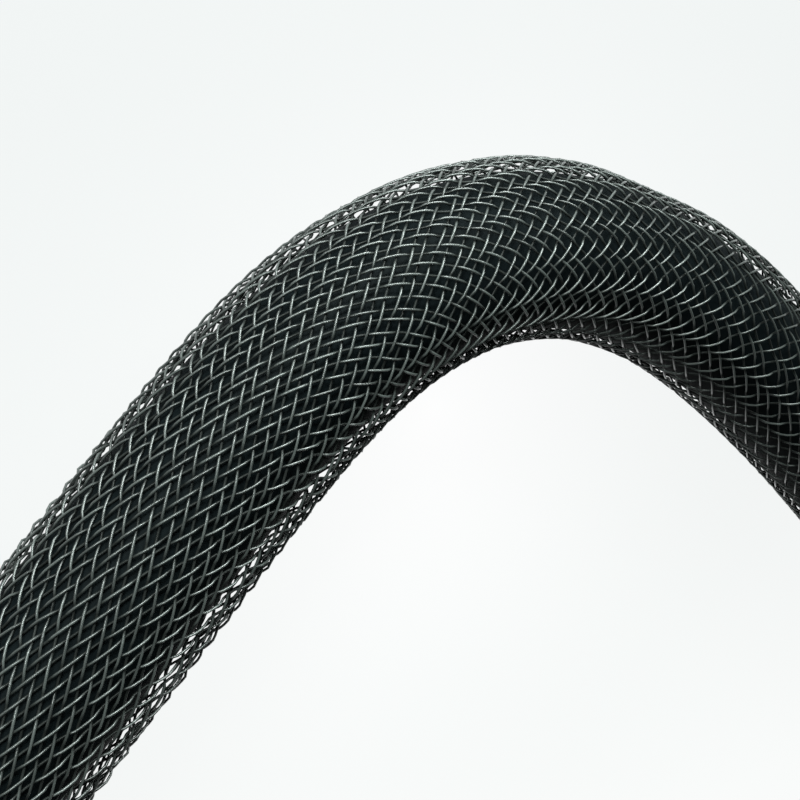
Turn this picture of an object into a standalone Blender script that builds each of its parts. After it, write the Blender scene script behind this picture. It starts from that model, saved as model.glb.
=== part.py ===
"""A length of braided sleeve over the round cable that it covers.

The stock lies on level ground in one bend. Units are metres, +Z is up, and the
origin is under the middle of the whole piece, at the level that it lies on.
"""

import math

import bmesh
import bpy
import numpy as np

# The cable, how far it can move off the sleeve's middle, and the room kept where it rests
CABLE_DIAMETER = 0.0170
CABLE_PLAY = 0.0006
SEAT_GAP = 0.0003

# The sleeve, which opens as far as the cable needs; its wall is two crossing filaments thick
SLEEVE_LENGTH = 1.000
SLEEVE_WALL = 0.0006
SLEEVE_DIAMETER = CABLE_DIAMETER + 2 * (CABLE_PLAY + SEAT_GAP + SLEEVE_WALL)

# The bend: its tightest radius, and the lengths over which it fades out before and after
BEND_RADIUS = 0.0358
RUN_IN = 0.0151
RUN_OUT = 0.0405

# The two legs: how far from the bend they begin to curl back, how gently, and to which radius
LEG_START = 0.140
LEG_EASE = 0.020
LEG_RADIUS = 0.260

# How far the cable leans, where the bend is tight, from the sleeve's bottom to its inner side
CABLE_LEAN = math.radians(65)

# How finely the two tubes are divided, how strongly the sections gather at the bend, and how
# near to each end the last one comes, so that the ends are cut square to the line
SECTIONS = 62
SECTION_GATHER = 2.4
END_SECTION = 0.002
SLEEVE_SIDES = 24
CABLE_SIDES = 20

# Step of the centre line's integration, and the distance within which loose points are joined
ROUTE_STEP = 0.0005
WELD_DISTANCE = 0.00001

SLEEVE_COLOUR = (0.020, 0.023, 0.025, 1.0)
SLEEVE_ROUGHNESS = 0.35
CABLE_COLOUR = (0.010, 0.013, 0.015, 1.0)
CABLE_ROUGHNESS = 0.55


def clear_scene():
    """Empty the file of its objects."""
    for old in list(bpy.data.objects):
        bpy.data.objects.remove(old, do_unlink=True)


def fading_length(along):
    """Length over which the bend fades, before or after its tightest point."""
    return np.where(along < 0, RUN_IN, RUN_OUT)


def heading(along):
    """Direction of the centre line in the ground plane, in radians from +X.

    It turns by the tanh of the distance from the tightest point, so the curvature
    is 1 / BEND_RADIUS there and fades out on both sides. Past LEG_START, a softened
    ramp of the distance curls each leg back to LEG_RADIUS. Both legs make the same
    angle with the X axis.
    """
    length = fading_length(along)
    turned = length / BEND_RADIUS * np.tanh(along / length)
    past_start = LEG_EASE * np.logaddexp(0, (np.abs(along) - LEG_START) / LEG_EASE)
    curled = np.sign(along) * past_start / LEG_RADIUS
    at_tightest = (RUN_OUT - RUN_IN) / (2 * BEND_RADIUS)
    return at_tightest - turned - curled


def centre_line(along):
    """Points of the sleeve's centre line, integrated from its heading at the tightest point."""
    reach = SLEEVE_LENGTH / 2
    half_count = math.ceil(reach / ROUTE_STEP)
    fine = np.linspace(-reach, reach, 2 * half_count + 1)
    middle = (fine[:-1] + fine[1:]) / 2
    step = reach / half_count
    x = np.concatenate([[0.0], np.cumsum(np.cos(heading(middle))) * step])
    y = np.concatenate([[0.0], np.cumsum(np.sin(heading(middle))) * step])
    x -= x[half_count]
    y -= y[half_count]
    return np.stack([np.interp(along, fine, x), np.interp(along, fine, y), 0 * along], axis=1)


def outward(along):
    """Level unit vectors across the centre line, towards the outside of the bend."""
    angle = heading(along)
    return np.stack([-np.sin(angle), np.cos(angle), 0 * angle], axis=1)


def ground_shift(along):
    """The move that centres the sleeve over the origin, with its underside at ground level."""
    line = centre_line(along)
    half_width = SLEEVE_DIAMETER / 2 * np.abs(outward(along))
    low = (line - half_width).min(axis=0)
    high = (line + half_width).max(axis=0)
    shift = -(low + high) / 2
    shift[2] = SLEEVE_DIAMETER / 2
    return shift


def cable_offset(along):
    """The cable's place in the sleeve: it lies on the bottom, and leans inwards where it bends.

    The lean follows the curvature, which fades as the inverse square of the cosh.
    """
    lean = CABLE_LEAN / np.cosh(along / fading_length(along)) ** 2
    up = np.array([0.0, 0.0, 1.0])
    return -CABLE_PLAY * (np.sin(lean)[:, None] * outward(along) + np.cos(lean)[:, None] * up)


def material(name, colour, roughness):
    """A plain plastic finish."""
    made = bpy.data.materials.new(name)
    made.use_nodes = True
    shader = made.node_tree.nodes["Principled BSDF"]
    shader.inputs["Base Color"].default_value = colour
    shader.inputs["Roughness"].default_value = roughness
    shader.inputs["Metallic"].default_value = 0.0
    return made


def tube(name, points, diameter, sides, capped, collection):
    """A round tube along points, as a mesh object, open at its ends or capped."""
    curve = bpy.data.curves.new(name, "CURVE")
    curve.dimensions = "3D"
    curve.twist_mode = "Z_UP"
    curve.bevel_depth = diameter / 2
    curve.bevel_resolution = (sides - 4) // 2
    curve.use_fill_caps = capped
    spline = curve.splines.new("POLY")
    spline.points.add(len(points) - 1)
    spline.points.foreach_set("co", np.column_stack([points, np.ones(len(points))]).ravel())
    route = bpy.data.objects.new(name, curve)
    collection.objects.link(route)

    scene_state = bpy.context.evaluated_depsgraph_get()
    mesh = bpy.data.meshes.new_from_object(route.evaluated_get(scene_state))
    place = route.matrix_world.copy()
    bpy.data.objects.remove(route, do_unlink=True)

    work = bmesh.new()
    work.from_mesh(mesh)
    bmesh.ops.remove_doubles(work, verts=work.verts, dist=WELD_DISTANCE)
    bmesh.ops.recalc_face_normals(work, faces=work.faces)
    work.to_mesh(mesh)
    work.free()
    mesh.shade_smooth()

    made = bpy.data.objects.new(name, mesh)
    made.matrix_world = place
    collection.objects.link(made)
    return made


def braided_sleeve(line, collection):
    """The sleeve: an open tube whose wall is thickened inwards."""
    made = tube("braided_sleeve", line, SLEEVE_DIAMETER, SLEEVE_SIDES, False, collection)
    wall = made.modifiers.new("wall", "SOLIDIFY")
    wall.thickness = SLEEVE_WALL
    wall.offset = -1.0
    wall.use_rim = True
    made.data.materials.append(material("sleeve_plastic", SLEEVE_COLOUR, SLEEVE_ROUGHNESS))
    return made


def inner_cable(line, collection):
    """The cable: a round rod, cut flush with the sleeve."""
    made = tube("inner_cable", line, CABLE_DIAMETER, CABLE_SIDES, True, collection)
    made.data.materials.append(material("cable_jacket", CABLE_COLOUR, CABLE_ROUGHNESS))
    return made


def build():
    """Model the stock."""
    clear_scene()
    parts = bpy.data.collections.new("braided_cable_sleeve")
    bpy.context.scene.collection.children.link(parts)

    reach = SLEEVE_LENGTH / 2
    spread = np.sinh(SECTION_GATHER * np.linspace(-1, 1, SECTIONS)) / math.sinh(SECTION_GATHER)
    along = np.concatenate([[-reach], (reach - END_SECTION) * spread, [reach]])
    line = centre_line(along) + ground_shift(along)
    braided_sleeve(line, parts)
    inner_cable(line + cable_offset(along), parts)


build()
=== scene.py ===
"""Looks of the braided cable sleeve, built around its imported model.

Units are metres and +Z is up. The stock lies on the floor at z = 0, in an open curve with
one tight bend. The sleeve is two sets of round filaments that wind round the cable in
opposite directions and pass over two and under two of each other.
"""

import math

import bpy
import numpy as np
from mathutils import Matrix, Vector


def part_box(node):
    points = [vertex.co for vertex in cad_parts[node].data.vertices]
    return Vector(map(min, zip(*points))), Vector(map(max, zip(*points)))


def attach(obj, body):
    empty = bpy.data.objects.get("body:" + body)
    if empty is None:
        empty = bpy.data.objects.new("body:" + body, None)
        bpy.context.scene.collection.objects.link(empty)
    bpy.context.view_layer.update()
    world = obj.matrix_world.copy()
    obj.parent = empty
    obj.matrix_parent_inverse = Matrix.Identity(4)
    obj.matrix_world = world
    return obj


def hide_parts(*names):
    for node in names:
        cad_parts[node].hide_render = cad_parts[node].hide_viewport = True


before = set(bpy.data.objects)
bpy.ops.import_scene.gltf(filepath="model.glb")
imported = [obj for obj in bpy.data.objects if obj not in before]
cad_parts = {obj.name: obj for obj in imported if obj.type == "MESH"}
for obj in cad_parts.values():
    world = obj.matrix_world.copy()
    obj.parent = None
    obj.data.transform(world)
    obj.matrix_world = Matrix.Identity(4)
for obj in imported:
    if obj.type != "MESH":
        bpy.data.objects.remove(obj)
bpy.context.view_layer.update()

# The cable, and how far it lies off the sleeve's middle
CABLE_RADIUS = 0.0085
CABLE_PLAY = 0.0006
CABLE_LEAN = math.radians(65)

# The line that the stock lies along: how far it reaches on each side of its tightest point,
# the bend that fades out from there, the two legs that curl back, and the step in which its
# course is summed up
REACH = 0.500
BEND_RADIUS = 0.0358
RUN_IN = 0.0151
RUN_OUT = 0.0405
LEG_START = 0.140
LEG_EASE = 0.020
LEG_RADIUS = 0.260
ROUTE_STEP = 0.00025

# The filaments, and how many neighbours share a piece
FILAMENTS_EACH_WAY = 40
FILAMENTS_A_PIECE = 10
FILAMENT_RADIUS = 0.00014
FILAMENT_SIDES = 5

# How far a filament rises where it passes over and sinks where it passes under, how square
# that wave is, and its height at a crossing before it is scaled to 1 there
WEAVE_RISE = 0.00020
WEAVE_SQUARENESS = 2.2
AT_CROSSING = math.tanh(WEAVE_SQUARENESS * math.cos(math.pi / 4))

# The sleeve's radius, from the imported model, and how far from its line the filaments weave,
# so that the highest of them just reach that radius
sleeve_low, sleeve_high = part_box("braided_sleeve")
SLEEVE_RADIUS = (sleeve_high.z - sleeve_low.z) / 2
HIGHEST_RISE = WEAVE_RISE * math.tanh(WEAVE_SQUARENESS) / AT_CROSSING
LAY_RADIUS = SLEEVE_RADIUS - FILAMENT_RADIUS - HIGHEST_RISE

# How far the sleeve hugs the cable just past the tightest point, on the side that this angle
# from outward to up gives, and the place and the length of that stretch along the line
HUG = 0.0008
HUG_SIDE = math.radians(5)
HUG_PLACE = (0.033, 0.009)

# How far the sleeve sinks onto the cable up to the bend, on the side that this angle gives,
# how far it stands out in a rim on either side and how narrow the rims are, and the place and
# the length over which all this ends
SAG = 0.0010
SAG_SIDE = math.radians(54)
RIM = 0.00028
RIM_NARROWNESS = 4
SAG_END = (0.004, 0.016)

# Spacing of the weave's rows along the line, in radians a metre: before, after and in the
# bend, and out past the stretch that the bend disturbs
ROW_RATE = (56.1, 46.7, 37.1)
ROW_RATE_BEYOND = 68.0

# How the bend pulls the weave out of its even lay, in radians, each as the sines and cosines
# of the angle round the sleeve, or of twice that angle: before, after and in the bend
BANDS_SINE = (0.124, 0.080, -0.141)
BANDS_COSINE = (-0.078, 0.124, -0.119)
BANDS_TWICE_SINE = (-0.051, 0.009, 0.119)
BANDS_TWICE_COSINE = (-0.072, -0.010, -0.038)
ROWS_SINE = (-0.161, 0.024, -0.255)
ROWS_COSINE = (-0.071, 0.229, -0.209)

# The slow turn of the whole weave about the line, in radians a metre, in the same three places
BANDS_TURN = (9.4, 1.9, -1.7)

# Where before becomes after, where the bend is, and where its pull on the weave fades, each as
# a place along the line and the length over which it happens
PASSING = (0.0, 0.020)
IN_BEND = (0.002, 0.030)
SETTLED = (0.115, 0.015)

# How often Newton's method is repeated to find a pulled filament's angles
NEWTON_STEPS = 12

# Uneven lay: each filament wanders by this share of a spacing, in waves of these lengths,
# with sizes and phases drawn from this seed
WANDER = 0.10
WANDER_WAVES = (0.009, 0.017, 0.031, 0.060)
WANDER_SEED = 7

# Within these distances of the tightest point and of both ends, a filament is divided twice
# for each crossing, and elsewhere once
FINE_REACH = 0.140
FINE_END = 0.030

# How finely the cable is divided, and how strongly its sections gather at the bend
CABLE_SIDES = 96
CABLE_SECTIONS = 420
CABLE_GATHER = 2.6

# The camera and the point it looks at, both from the line's tightest point, its roll, and its
# lens and sensor in millimetres
CAMERA_FROM_BEND = (-0.072635, 0.042544, 0.101528)
AIM_FROM_BEND = (0.001690, -0.012222, 0.0)
CAMERA_ROLL = math.radians(-120.143)
CAMERA_LENS = 58.5
SENSOR_WIDTH = 36.0
CLIP_START = 0.01

# The finish is laid out in centimetres along a rod. These are how far its pattern lies from
# the next rod's, how far a rod has risen where it begins to be rubbed glossy and to lose the
# painted shade that darkens its sunk runs, and where it is fully so, and how detailed the slow
# and the fine noise are.
LAY_PER_METRE = 100
ROD_SHIFT = 7.3
GLOSSY_AND_UNSHADED_FROM = -0.5
GLOSSY_AND_UNSHADED_TO = 0.7
MOTTLE_DETAIL = 3.0
GRAIN_DETAIL = 2.0

# The floor: the dark colour that it reflects, the ones that it glows in behind the bend and in
# front of it, and where those begin, how much whiter its glow is in the middle of the bend,
# and where that is and how far it reaches
FLOOR_SIZE = 6.0
FLOOR_BASE_COLOUR = (0.02, 0.02, 0.02, 1.0)
FLOOR_BACK_COLOUR = (0.836, 0.862, 0.858, 1.0)
FLOOR_FRONT_COLOUR = (0.928, 0.943, 0.936, 1.0)
FLOOR_BACK = 0.02
FLOOR_FRONT = -0.11
NO_GLOW = (0.0, 0.0, 0.0, 1.0)
GLOW_COLOUR = (0.120, 0.100, 0.105, 1.0)
GLOW_CENTRE = (0.014, -0.020)
GLOW_REACH = 0.075

# The world: its share of light on the stock, and its colour where the camera sees it
WORLD_STRENGTH = 0.06
SKY_COLOUR = (0.86, 0.88, 0.875, 1.0)

# The soft lights, all as far from the bend and as wide: bearing from +X and height in
# degrees, and power in watts
LIGHT_COLOUR = (0.90, 1.0, 0.96)
LIGHT_DISTANCE = 0.45
LIGHT_WIDTH = 0.12
SOFT_LIGHTS = {
    "low_back": (80, 10, 2.2),
    "back_left": (110, 30, 3.0),
    "back": (80, 30, 1.95),
    "back_right": (50, 30, 1.5),
    "camera_side": (143, 30, 1.65),
}

UP = np.array([0.0, 0.0, 1.0])


def fading_length(along):
    """Length over which the bend fades, before or after its tightest point."""
    return np.where(along < 0, RUN_IN, RUN_OUT)


def heading(along):
    """Direction of the line on the floor, in radians from +X.

    It turns by fading_length / BEND_RADIUS times the tanh of the distance over
    fading_length, and past LEG_START by a softened ramp of the distance over LEG_RADIUS.
    """
    length = fading_length(along)
    turned = length / BEND_RADIUS * np.tanh(along / length)
    past_start = LEG_EASE * np.logaddexp(0, (np.abs(along) - LEG_START) / LEG_EASE)
    curled = np.sign(along) * past_start / LEG_RADIUS
    at_tightest = (RUN_OUT - RUN_IN) / (2 * BEND_RADIUS)
    return at_tightest - turned - curled


def outward(along):
    """Level unit vectors across the line, towards the outside of the bend."""
    angle = heading(along)
    return np.stack([-np.sin(angle), np.cos(angle), 0 * angle], axis=1)


def fine_places():
    """Places all along the line, ROUTE_STEP apart."""
    return np.linspace(-REACH, REACH, 2 * round(REACH / ROUTE_STEP) + 1)


def centre_line(along):
    """Points of the line: the running sum of the cosine and sine of its heading.

    The sum is centred so that the sleeve's box has its middle over the origin, and the
    line is one sleeve radius above the floor.
    """
    fine = fine_places()
    middle = (fine[:-1] + fine[1:]) / 2
    x = np.concatenate([[0.0], np.cumsum(np.cos(heading(middle)))]) * ROUTE_STEP
    y = np.concatenate([[0.0], np.cumsum(np.sin(heading(middle)))]) * ROUTE_STEP
    across = SLEEVE_RADIUS * np.abs(outward(fine))
    x -= ((x - across[:, 0]).min() + (x + across[:, 0]).max()) / 2
    y -= ((y - across[:, 1]).min() + (y + across[:, 1]).max()) / 2
    return np.stack(
        [np.interp(along, fine, x), np.interp(along, fine, y), 0 * along + SLEEVE_RADIUS], axis=1
    )


def smooth_step(along, change):
    """0 well before a change's place and 1 well after it: half of 1 + tanh."""
    place, width = change
    return (1 + np.tanh((along - place) / width)) / 2


def blended(amounts, along):
    """An amount that is given before, after and in the bend, blended along the line.

    The first gives way to the second by the smooth step of PASSING, and the third is added
    over the square of the cosh of the distance from IN_BEND.
    """
    before, after, within = amounts
    passed = smooth_step(along, PASSING)
    middle, width = IN_BEND
    return before * (1 - passed) + after * passed + within / np.cosh((along - middle) / width) ** 2


def pulled(along):
    """How far the bend disturbs the weave at a place: 1 near it, and 0 out along the legs."""
    return 1 - smooth_step(np.abs(along), SETTLED)


def running_sum(rate, along):
    """The integral of a rate along the line, 0 at the tightest point."""
    steps = (rate[:-1] + rate[1:]) / 2 * np.diff(along)
    total = np.concatenate([[0.0], np.cumsum(steps)])
    return total - np.interp(0.0, along, total)


def route():
    """Places along the line, with the rows' angle and the bands' turn that each has reached."""
    along = fine_places()
    share = pulled(along)
    row_rate = blended(ROW_RATE, along) * share + ROW_RATE_BEYOND * (1 - share)
    rows = running_sum(row_rate, along)
    turn = running_sum(blended(BANDS_TURN, along) * share, along)
    return along, rows, turn


def stations():
    """Places along the line at which every filament has a section, with rows and turn.

    Away from the bend all crossings lie at whole counts of the rows' angle times the number
    of filaments over pi. Half counts are added near the tightest point and both ends.
    """
    fine, rows, turn = route()
    count = rows * FILAMENTS_EACH_WAY / math.pi
    halves = np.arange(math.ceil(2 * count[0]), math.floor(2 * count[-1]) + 1) / 2
    along = np.interp(halves, count, fine)
    whole = halves == np.round(halves)
    near = np.abs(along) < FINE_REACH
    at_end = np.abs(along) > REACH - FINE_END
    kept = (whole | near | at_end) & (np.abs(along) < REACH - FILAMENT_RADIUS)
    along = np.concatenate([[-REACH], along[kept], [REACH]])
    return along, np.interp(along, fine, rows), np.interp(along, fine, turn)


def bands_wave(angle, along):
    """How far the bands are pulled round the sleeve at an angle, and how that changes with it.

    It is a sum of the sines and cosines of the angle and of twice the angle.
    """
    share = pulled(along)
    sine, cosine, twice_sine, twice_cosine = (
        share * blended(amounts, along)
        for amounts in (BANDS_SINE, BANDS_COSINE, BANDS_TWICE_SINE, BANDS_TWICE_COSINE)
    )
    wave = sine * np.sin(angle) + cosine * np.cos(angle)
    wave += twice_sine * np.sin(2 * angle) + twice_cosine * np.cos(2 * angle)
    change = sine * np.cos(angle) - cosine * np.sin(angle)
    change += 2 * twice_sine * np.cos(2 * angle) - 2 * twice_cosine * np.sin(2 * angle)
    return wave, change


def rows_wave(angle, along):
    """How far the rows are pulled along the line at an angle, and how that changes with it.

    It is a sum of the sine and the cosine of the angle.
    """
    share = pulled(along)
    sine, cosine = (share * blended(amounts, along) for amounts in (ROWS_SINE, ROWS_COSINE))
    wave = sine * np.sin(angle) + cosine * np.cos(angle)
    return wave, sine * np.cos(angle) - cosine * np.sin(angle)


def weave_angles(way, wanted, along):
    """Angles round the sleeve, from its outer side towards the top, of one set of filaments.

    The angle plus the bands' wave, minus or plus the rows' wave, is the wanted weave angle,
    and it is solved for by Newton's method.
    """
    angle = wanted.copy()
    for _ in range(NEWTON_STEPS):
        bands, bands_change = bands_wave(angle, along)
        rows, rows_change = rows_wave(angle, along)
        missed = angle + bands - way * rows - wanted
        angle -= missed / (1 + bands_change - way * rows_change)
    return angle


def over_and_under(band):
    """1 at a crossing where a filament passes over, and -1 where it passes under.

    It is the tanh of WEAVE_SQUARENESS times a cosine, over its height at a crossing. The
    cosine takes four crossings for a turn, and peaks halfway between two crossings.
    """
    crossing = FILAMENTS_EACH_WAY * band / math.pi
    wave = np.tanh(WEAVE_SQUARENESS * np.cos(math.pi / 2 * (crossing - 0.5)))
    return wave / AT_CROSSING


def wander(count, along, draw):
    """Uneven lay of each filament: sines of the distance, with random sizes and phases."""
    phases = draw.uniform(0, 2 * math.pi, (count, len(WANDER_WAVES), 1))
    sizes = draw.normal(0, 1, (count, len(WANDER_WAVES), 1)) / math.sqrt(len(WANDER_WAVES))
    waves = 2 * math.pi / np.array(WANDER_WAVES)[None, :, None]
    spacing = 2 * math.pi / FILAMENTS_EACH_WAY
    return WANDER * spacing * (sizes * np.sin(waves * along[None, None, :] + phases)).sum(axis=1)


def hug(angle, along):
    """How far the sleeve hugs the cable, as an inward offset at an angle and a place.

    It is HUG times the squared cosine of the angle from HUG_SIDE, over the squared cosh of
    the distance from HUG_PLACE, and 0 on the far side.
    """
    place, width = HUG_PLACE
    facing = np.maximum(np.cos(angle - HUG_SIDE), 0)
    return HUG * facing ** 2 / np.cosh((along - place) / width) ** 2


def sag(angle, along):
    """How far the sleeve sinks onto the cable, as an inward offset at an angle and a place.

    It is SAG times the square root of the cosine of the angle from SAG_SIDE, less RIM times
    the squared sine to the power of RIM_NARROWNESS. The smooth step of SAG_END ends it.
    """
    facing = np.cos(angle - SAG_SIDE)
    rim = RIM * (1 - facing ** 2) ** RIM_NARROWNESS
    sunk = SAG * np.sqrt(np.maximum(facing, 0)) - rim
    return sunk * (1 - smooth_step(along, SAG_END))


def filament_lines(way, along, rows, turn, draw):
    """Centre lines of one set of filaments, as an array of filaments by stations by 3.

    On filament i of the first set the bands' angle minus the rows' angle is 2 pi i over the
    number of filaments, and on the second set their sum is. Its distance from the sleeve's
    line is LAY_RADIUS, less the hug and the sag, plus WEAVE_RISE where it passes over and
    minus it where it passes under. The directions away from the line come second, and how
    far each filament has risen, from about -1 to 1, comes last.
    """
    number = np.arange(FILAMENTS_EACH_WAY)[:, None]
    lay = 2 * math.pi * number / FILAMENTS_EACH_WAY + wander(FILAMENTS_EACH_WAY, along, draw)
    angle = weave_angles(way, lay + way * rows - turn, along[None, :])
    band = lay + way * (rows + rows_wave(angle, along[None, :])[0])
    risen = way * over_and_under(band)
    sunk = hug(angle, along[None, :]) + sag(angle, along[None, :])
    radius = LAY_RADIUS - sunk + WEAVE_RISE * risen
    radial = np.cos(angle)[..., None] * outward(along)[None] + np.sin(angle)[..., None] * UP
    return centre_line(along)[None] + radius[..., None] * radial, radial, risen


def unit(vectors):
    """Vectors scaled to length 1 along the last axis."""
    return vectors / np.linalg.norm(vectors, axis=-1, keepdims=True)


def swept_rods(lines, facing, radius, sides):
    """Points of round rods swept along lines, as rods by stations by sides by 3.

    Each ring is the line's point plus radius times the cosine of the side's angle along
    facing, turned square to the line, and its sine across both.
    """
    tangent = unit(np.gradient(lines, axis=1))
    first = unit(facing - (facing * tangent).sum(axis=-1, keepdims=True) * tangent)
    second = np.cross(tangent, first)
    turn = 2 * math.pi * np.arange(sides) / sides
    ring = (
        np.cos(turn)[:, None] * first[:, :, None, :]
        + np.sin(turn)[:, None] * second[:, :, None, :]
    )
    return lines[:, :, None, :] + radius * ring


def rods_lay(along, numbers, sides):
    """The UV map of rods, for the corners of their quads and then of their end faces.

    It gives the distance along in centimetres, and the rod's number plus the share of the
    way round it, up to a full turn at the last side's far corners.
    """
    shape = (len(numbers), len(along), sides)
    u = np.broadcast_to(along[None, :, None] * LAY_PER_METRE, shape)
    rod = np.broadcast_to(numbers[:, None, None], shape)
    v = rod + np.arange(sides) / sides
    v_following = rod + (np.arange(sides) + 1) / sides
    quad_u = np.stack([u[:, :-1], u[:, :-1], u[:, 1:], u[:, 1:]], axis=-1)
    quad_v = np.stack([v[:, :-1], v_following[:, :-1], v_following[:, 1:], v[:, 1:]], axis=-1)
    cap_u = np.stack([u[:, 0, ::-1], u[:, -1]], axis=1)
    cap_v = np.stack([v[:, 0, ::-1], v[:, -1]], axis=1)
    return np.stack(
        [
            np.concatenate([quad_u.ravel(), cap_u.ravel()]),
            np.concatenate([quad_v.ravel(), cap_v.ravel()]),
        ],
        axis=1,
    )


def rods_object(name, rings, along, numbers, risen):
    """One mesh of closed rods: quads between neighbouring rings, and a face on each end.

    Its lay is a UV map, and how far each ring has risen is an attribute of its points.
    """
    rods, sections, sides, _ = rings.shape
    corner = np.arange(rods * sections * sides).reshape(rods, sections, sides)
    following = np.roll(corner, -1, axis=2)
    quads = np.stack(
        [corner[:, :-1], following[:, :-1], following[:, 1:], corner[:, 1:]], axis=-1
    )
    caps = np.stack([corner[:, 0, ::-1], corner[:, -1]], axis=1)

    corners = np.concatenate([quads.ravel(), caps.ravel()])
    side_faces = quads.size // 4
    end_faces = caps.size // sides
    sizes = np.concatenate([np.full(side_faces, 4), np.full(end_faces, sides)])
    starts = np.concatenate([[0], np.cumsum(sizes)[:-1]])
    lay = rods_lay(along, numbers, sides)

    mesh = bpy.data.meshes.new(name)
    mesh.vertices.add(corner.size)
    mesh.vertices.foreach_set("co", rings.astype(np.float32).ravel())
    mesh.loops.add(len(corners))
    mesh.loops.foreach_set("vertex_index", corners.astype(np.int32))
    mesh.polygons.add(len(sizes))
    mesh.polygons.foreach_set("loop_start", starts.astype(np.int32))
    layer = mesh.uv_layers.new(name="lay")
    layer.uv.foreach_set("vector", lay.astype(np.float32).ravel())
    height = mesh.attributes.new("risen", "FLOAT", "POINT")
    height.data.foreach_set("value", np.repeat(risen.astype(np.float32).ravel(), sides))
    mesh.update(calc_edges=True)
    mesh.polygons.foreach_set("use_smooth", np.arange(len(sizes)) < side_faces)
    piece = bpy.data.objects.new(name, mesh)
    bpy.context.scene.collection.objects.link(piece)
    return piece


def feed(tree, socket, value):
    """Link an output socket to an input socket, or set the input to a value."""
    if isinstance(value, bpy.types.NodeSocket):
        tree.links.new(value, socket)
    else:
        socket.default_value = value


def feed_by_name(tree, made, inputs):
    """Feed a node's inputs by their names, with spaces written as underscores."""
    for name, value in inputs.items():
        feed(tree, made.inputs[name.replace("_", " ")], value)


def node(tree, kind, **inputs):
    """A shader node with its inputs fed by name."""
    made = tree.nodes.new(kind)
    feed_by_name(tree, made, inputs)
    return made


def maths(tree, operation, *values):
    """The output of a Math node on one, two or three values or sockets."""
    made = tree.nodes.new("ShaderNodeMath")
    made.operation = operation
    for socket, value in zip(made.inputs, values):
        feed(tree, socket, value)
    return made.outputs["Value"]


def new_group(name, inputs, outputs):
    """A node group with named input and output sockets, and its two end nodes."""
    tree = bpy.data.node_groups.new(name, "ShaderNodeTree")
    for title, kind in inputs:
        tree.interface.new_socket(title, in_out="INPUT", socket_type=f"NodeSocket{kind}")
    for title, kind in outputs:
        tree.interface.new_socket(title, in_out="OUTPUT", socket_type=f"NodeSocket{kind}")
    return tree, tree.nodes.new("NodeGroupInput").outputs, tree.nodes.new("NodeGroupOutput").inputs


def group_node(tree, group, **inputs):
    """The outputs of a node group placed in a material, with its inputs fed by name."""
    made = tree.nodes.new("ShaderNodeGroup")
    made.node_tree = group
    feed_by_name(tree, made, inputs)
    return made.outputs


def along_and_round():
    """A group that spreads a pattern over a rod from its UV map, with no seam.

    Its vector is the distance along times stretch, and the cosine and sine of the turn round
    the rod times girth. The rod's number moves the pattern, so that no two rods share one,
    and gives each a random number of its own.
    """
    tree, given, result = new_group(
        "along_and_round",
        (("Lay", "Vector"), ("Stretch", "Float"), ("Girth", "Float")),
        (("Vector", "Vector"), ("Own", "Float")),
    )
    apart = node(tree, "ShaderNodeSeparateXYZ", Vector=given["Lay"]).outputs
    number = maths(tree, "FLOOR", apart["Y"])
    turn = maths(tree, "MULTIPLY", maths(tree, "FRACT", apart["Y"]), 2 * math.pi)
    shift = maths(tree, "MULTIPLY", number, ROD_SHIFT)
    across = maths(tree, "MULTIPLY_ADD", maths(tree, "COSINE", turn), given["Girth"], shift)
    upward = maths(tree, "MULTIPLY", maths(tree, "SINE", turn), given["Girth"])
    along = maths(tree, "MULTIPLY", apart["X"], given["Stretch"])
    vector = node(tree, "ShaderNodeCombineXYZ", X=along, Y=across, Z=upward).outputs["Vector"]
    own = tree.nodes.new("ShaderNodeTexWhiteNoise")
    own.noise_dimensions = "1D"
    tree.links.new(number, own.inputs["W"])
    tree.links.new(vector, result["Vector"])
    tree.links.new(own.outputs["Value"], result["Own"])
    return tree


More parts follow.
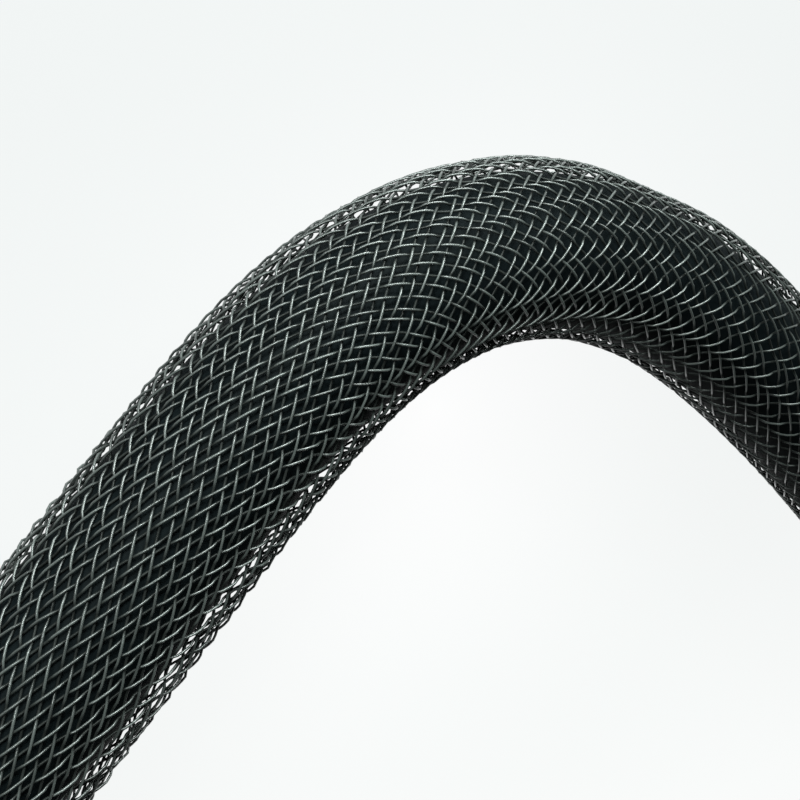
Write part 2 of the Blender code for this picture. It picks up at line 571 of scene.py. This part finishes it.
def drawn_finish_and_shade():
    """A group for the uneven finish of drawn and extruded plastic.

    Slow noise and the rod's own number make the colour lighter and darker and the gloss
    duller and brighter, and fine noise gives the height of grain and draw marks. Rubbed
    goes from 0 to 1 as the rod rises, and where it is less than 1 the colour is darker:
    painted shade on the runs that sink under their neighbours.
    """
    tree, given, result = new_group(
        "drawn_finish_and_shade",
        (
            ("Color", "Color"), ("Roughness", "Float"), ("Vector", "Vector"), ("Own", "Float"),
            ("Mottle Scale", "Float"), ("Tone Amount", "Float"), ("Gloss Amount", "Float"),
            # The shade amount sets how much painted shade darkens the sunk runs.
            ("Grain Scale", "Float"), ("Risen", "Float"), ("Shade Amount", "Float"),
        ),
        (("Color", "Color"), ("Roughness", "Float"), ("Height", "Float"), ("Rubbed", "Float")),
    )
    slow = node(
        tree, "ShaderNodeTexNoise",
        Vector=given["Vector"], Scale=given["Mottle Scale"], Detail=MOTTLE_DETAIL,
    ).outputs["Fac"]
    fine = node(
        tree, "ShaderNodeTexNoise",
        Vector=given["Vector"], Scale=given["Grain Scale"], Detail=GRAIN_DETAIL,
    ).outputs["Fac"]
    uneven = maths(tree, "SUBTRACT", maths(tree, "ADD", slow, given["Own"]), 1.0)
    rubbed = node(
        tree, "ShaderNodeMapRange", Value=given["Risen"], From_Min=GLOSSY_AND_UNSHADED_FROM, From_Max=GLOSSY_AND_UNSHADED_TO
    ).outputs["Result"]
    # Painted shade: where the rod has sunk under its neighbours, its colour is darkened by up to
    # the shade amount.
    sunk = maths(tree, "SUBTRACT", rubbed, 1.0)
    shade = maths(tree, "MULTIPLY_ADD", sunk, given["Shade Amount"], 1.0)
    mottle = maths(tree, "MULTIPLY_ADD", uneven, given["Tone Amount"], 1.0)
    tone_and_shade = maths(tree, "MULTIPLY", mottle, shade)
    gloss = maths(tree, "MULTIPLY_ADD", uneven, given["Gloss Amount"], 1.0)
    colour = tree.nodes.new("ShaderNodeVectorMath")
    colour.operation = "SCALE"
    tree.links.new(given["Color"], colour.inputs["Vector"])
    tree.links.new(tone_and_shade, colour.inputs["Scale"])
    tree.links.new(colour.outputs["Vector"], result["Color"])
    tree.links.new(maths(tree, "MULTIPLY", given["Roughness"], gloss), result["Roughness"])
    tree.links.new(fine, result["Height"])
    tree.links.new(rubbed, result["Rubbed"])
    return tree


def drawn_plastic(
    name, groups, colour, roughness, specular, lay, finish, relief, coat_roughness=None
):
    """A material for drawn plastic, with its pattern's lay, finish and relief.

    Lay and finish are the named inputs of the two groups, and relief is the strength and
    the depth in metres of the grain. With a coat roughness, it has a glossy coat where it
    is rubbed.
    """
    lay_group, finish_group = groups
    made = bpy.data.materials.new(name)
    made.use_nodes = True
    tree = made.node_tree
    shader = tree.nodes["Principled BSDF"]
    uv = tree.nodes.new("ShaderNodeUVMap")
    uv.uv_map = "lay"
    spread = group_node(tree, lay_group, Lay=uv.outputs["UV"], **lay)
    risen = tree.nodes.new("ShaderNodeAttribute")
    risen.attribute_name = "risen"
    surface = group_node(
        tree, finish_group, Color=(*colour, 1.0), Roughness=roughness,
        Risen=risen.outputs["Fac"], Vector=spread["Vector"], Own=spread["Own"], **finish,
    )
    strength, depth = relief
    bump = node(tree, "ShaderNodeBump", Strength=strength, Distance=depth, Height=surface["Height"])
    tree.links.new(surface["Color"], shader.inputs["Base Color"])
    tree.links.new(surface["Roughness"], shader.inputs["Roughness"])
    tree.links.new(bump.outputs["Normal"], shader.inputs["Normal"])
    shader.inputs["Specular IOR Level"].default_value = specular
    if coat_roughness is not None:
        tree.links.new(surface["Rubbed"], shader.inputs["Coat Weight"])
        shader.inputs["Coat Roughness"].default_value = coat_roughness
    return made


def filament_plastic(groups):
    """Black monofilament, rubbed glossy where it passes over and dull where it passes under,
    where painted shade also darkens it.

    Some of it is duller than the rest, and small draw marks break its gloss.
    """
    return drawn_plastic(
        "black_monofilament",
        groups,
        colour=(0.031, 0.035, 0.0335),
        roughness=0.36,
        specular=0.10,
        coat_roughness=0.28,
        lay={"Stretch": 1.0, "Girth": 0.014},
        finish={
            "Mottle_Scale": 2.5,
            "Tone_Amount": 0.7,
            "Gloss_Amount": 0.45,
            "Grain_Scale": 30.0,
            # Painted shade: how much darker the filament's colour is where it passes under.
            "Shade_Amount": 0.68,
        },
        relief=(0.6, 0.00003),
    )


def jacket_plastic(groups):
    """Dull black cable jacket, with faint marks along it and a fine grain."""
    return drawn_plastic(
        "dull_jacket",
        groups,
        colour=(0.0028, 0.0041, 0.0046),
        roughness=0.50,
        specular=0.017,
        lay={"Stretch": 0.5, "Girth": 0.85},
        finish={
            "Mottle_Scale": 3.0,
            "Tone_Amount": 0.6,
            "Gloss_Amount": 0.2,
            "Grain_Scale": 60.0,
        },
        relief=(0.25, 0.00005),
    )


def braided_sleeve(finish):
    """The sleeve's two sets of filaments, in pieces of a few neighbours each."""
    along, rows, turn = stations()
    draw = np.random.default_rng(WANDER_SEED)
    for way, set_name in ((1, "right"), (-1, "left")):
        lines, facing, risen = filament_lines(way, along, rows, turn, draw)
        rings = swept_rods(lines, facing, FILAMENT_RADIUS, FILAMENT_SIDES)
        for first in range(0, FILAMENTS_EACH_WAY, FILAMENTS_A_PIECE):
            group = slice(first, first + FILAMENTS_A_PIECE)
            name = f"filaments_{set_name}_{first // FILAMENTS_A_PIECE + 1}"
            numbers = np.arange(first, first + FILAMENTS_A_PIECE)
            piece = rods_object(name, rings[group], along, numbers, risen[group])
            piece.data.materials.append(finish)
            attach(piece, "root")
            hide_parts("braided_sleeve")


def inner_cable(finish):
    """The cable, a round rod that lies on the sleeve's bottom and leans inwards in the bend.

    It is off the line by CABLE_PLAY, down turned inwards by CABLE_LEAN over the square of
    the cosh of the distance over fading_length.
    """
    spread = np.sinh(CABLE_GATHER * np.linspace(-1, 1, CABLE_SECTIONS)) / math.sinh(CABLE_GATHER)
    along = REACH * spread
    lean = (CABLE_LEAN / np.cosh(along / fading_length(along)) ** 2)[:, None]
    line = centre_line(along) - CABLE_PLAY * (np.sin(lean) * outward(along) + np.cos(lean) * UP)
    facing = np.broadcast_to(UP, (1, CABLE_SECTIONS, 3))
    rings = swept_rods(line[None], facing, CABLE_RADIUS, CABLE_SIDES)
    piece = rods_object("cable", rings, along, np.zeros(1), np.ones((1, CABLE_SECTIONS)))
    piece.data.materials.append(finish)
    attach(piece, "root")
    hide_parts("inner_cable")


def colour_ramp(tree, factor, start, end):
    """A colour between two others, by a factor."""
    shade = node(tree, "ShaderNodeValToRGB", Fac=factor)
    shade.color_ramp.elements[0].color = start
    shade.color_ramp.elements[1].color = end
    return shade.outputs["Color"]


def floor(bend):
    """A pale floor that glows like a light table, whiter in front and most in the bend.

    Its glow is blended in a straight line from the front colour to the back one, plus
    GLOW_COLOUR times the square of how near the glow's middle is, 0 at GLOW_REACH from it.
    """
    bpy.ops.mesh.primitive_plane_add(size=FLOOR_SIZE, location=(0, 0, 0))
    ground = bpy.context.object
    ground.name = "floor"
    made = bpy.data.materials.new("pale_floor")
    made.use_nodes = True
    tree = made.node_tree
    shader = tree.nodes["Principled BSDF"]
    shader.inputs["Base Color"].default_value = FLOOR_BASE_COLOUR
    shader.inputs["Roughness"].default_value = 1.0
    shader.inputs["Specular IOR Level"].default_value = 0.0
    place = tree.nodes.new("ShaderNodeTexCoord").outputs["Object"]
    apart = node(tree, "ShaderNodeSeparateXYZ", Vector=place).outputs
    ramp = node(
        tree, "ShaderNodeMapRange", Value=apart["Y"],
        From_Min=bend[1] + FLOOR_FRONT, From_Max=bend[1] + FLOOR_BACK,
    )
    sweep = colour_ramp(tree, ramp.outputs["Result"], FLOOR_FRONT_COLOUR, FLOOR_BACK_COLOUR)
    centre = (bend[0] + GLOW_CENTRE[0], bend[1] + GLOW_CENTRE[1])
    centred = node(
        tree, "ShaderNodeMapping", Vector=place,
        Location=(-centre[0] / GLOW_REACH, -centre[1] / GLOW_REACH, 0.0),
        Scale=(1 / GLOW_REACH, 1 / GLOW_REACH, 1.0),
    )
    glow = tree.nodes.new("ShaderNodeTexGradient")
    glow.gradient_type = "QUADRATIC_SPHERE"
    tree.links.new(centred.outputs["Vector"], glow.inputs["Vector"])
    whiter = colour_ramp(tree, glow.outputs["Fac"], NO_GLOW, GLOW_COLOUR)
    total = tree.nodes.new("ShaderNodeVectorMath")
    total.operation = "ADD"
    tree.links.new(sweep, total.inputs[0])
    tree.links.new(whiter, total.inputs[1])
    tree.links.new(total.outputs["Vector"], shader.inputs["Emission Color"])
    shader.inputs["Emission Strength"].default_value = 1.0
    ground.data.materials.append(made)


def area_light(name, place, target, power):
    """A square soft light at a place, turned towards a target."""
    light = bpy.data.lights.new(name, "AREA")
    light.shape = "SQUARE"
    light.size = LIGHT_WIDTH
    light.energy = power
    light.color = LIGHT_COLOUR
    lamp = bpy.data.objects.new(name, light)
    lamp.location = place
    lamp.rotation_euler = (target - place).to_track_quat("-Z", "Y").to_euler()
    lamp.visible_camera = False
    bpy.context.scene.collection.objects.link(lamp)


def lights(bend):
    """The soft lights at their bearings and heights, turned to the bend, in a pale world.

    The world lights the stock dimly, and is as pale as the floor where it is seen itself.
    """
    world = bpy.data.worlds.new("studio")
    world.use_nodes = True
    tree = world.node_tree
    background = tree.nodes["Background"]
    seen = tree.nodes.new("ShaderNodeLightPath").outputs["Is Camera Ray"]
    background.inputs["Color"].default_value = SKY_COLOUR
    strength = maths(tree, "MULTIPLY_ADD", seen, 1.0 - WORLD_STRENGTH, WORLD_STRENGTH)
    tree.links.new(strength, background.inputs["Strength"])
    bpy.context.scene.world = world
    for name, (bearing, height, power) in SOFT_LIGHTS.items():
        bearing, height = math.radians(bearing), math.radians(height)
        towards = Vector((
            math.cos(bearing) * math.cos(height),
            math.sin(bearing) * math.cos(height),
            math.sin(height),
        ))
        area_light(name, bend + LIGHT_DISTANCE * towards, bend, power)


def camera(bend):
    """The camera, close above the bend, rolled about its line of sight."""
    data = bpy.data.cameras.new("camera")
    data.lens = CAMERA_LENS
    data.sensor_width = SENSOR_WIDTH
    data.clip_start = CLIP_START
    eye = bpy.data.objects.new("camera", data)
    place = bend + Vector(CAMERA_FROM_BEND)
    sight = bend + Vector(AIM_FROM_BEND) - place
    aimed = sight.to_track_quat("-Z", "Y").to_matrix().to_4x4()
    turn = aimed @ Matrix.Rotation(-CAMERA_ROLL, 4, "Z")
    eye.matrix_world = Matrix.Translation(place) @ turn
    bpy.context.scene.collection.objects.link(eye)
    bpy.context.scene.camera = eye


tightest = Vector(centre_line(np.zeros(1))[0])

camera(tightest)
finish_groups = (along_and_round(), drawn_finish_and_shade())
braided_sleeve(filament_plastic(finish_groups))
inner_cable(jacket_plastic(finish_groups))
floor(tightest)
lights(tightest)
bpy.context.scene.view_settings.view_transform = "Standard"
